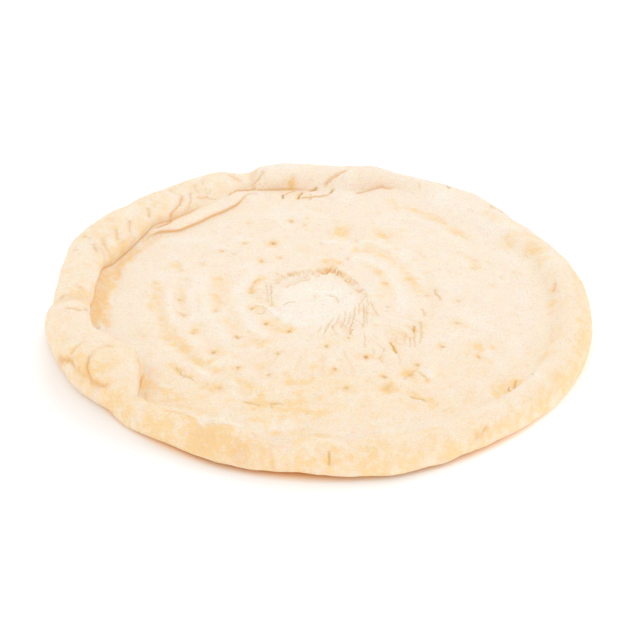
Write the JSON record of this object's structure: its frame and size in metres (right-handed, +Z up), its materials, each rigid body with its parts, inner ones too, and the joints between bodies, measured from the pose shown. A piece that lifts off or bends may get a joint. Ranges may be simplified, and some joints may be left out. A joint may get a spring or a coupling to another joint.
{
  "type": "raw flatbread dough",
  "caption": "Round raw flatbread dough, pressed thin in spiral finger tracks, with an uneven rim rolled in by hand and folded over itself.",
  "frame": {"origin": "middle of the round's outline, on the surface it lies on", "axes": "+X to the picture's right, +Y away from the camera, +Z up"},
  "size_m": [0.2814, 0.2812, 0.0195],
  "materials": {
    "dough": "floury matte raw dough"
  },
  "bodies": {
    "root": {"dough": "dough"}
  },
  "joints": []
}
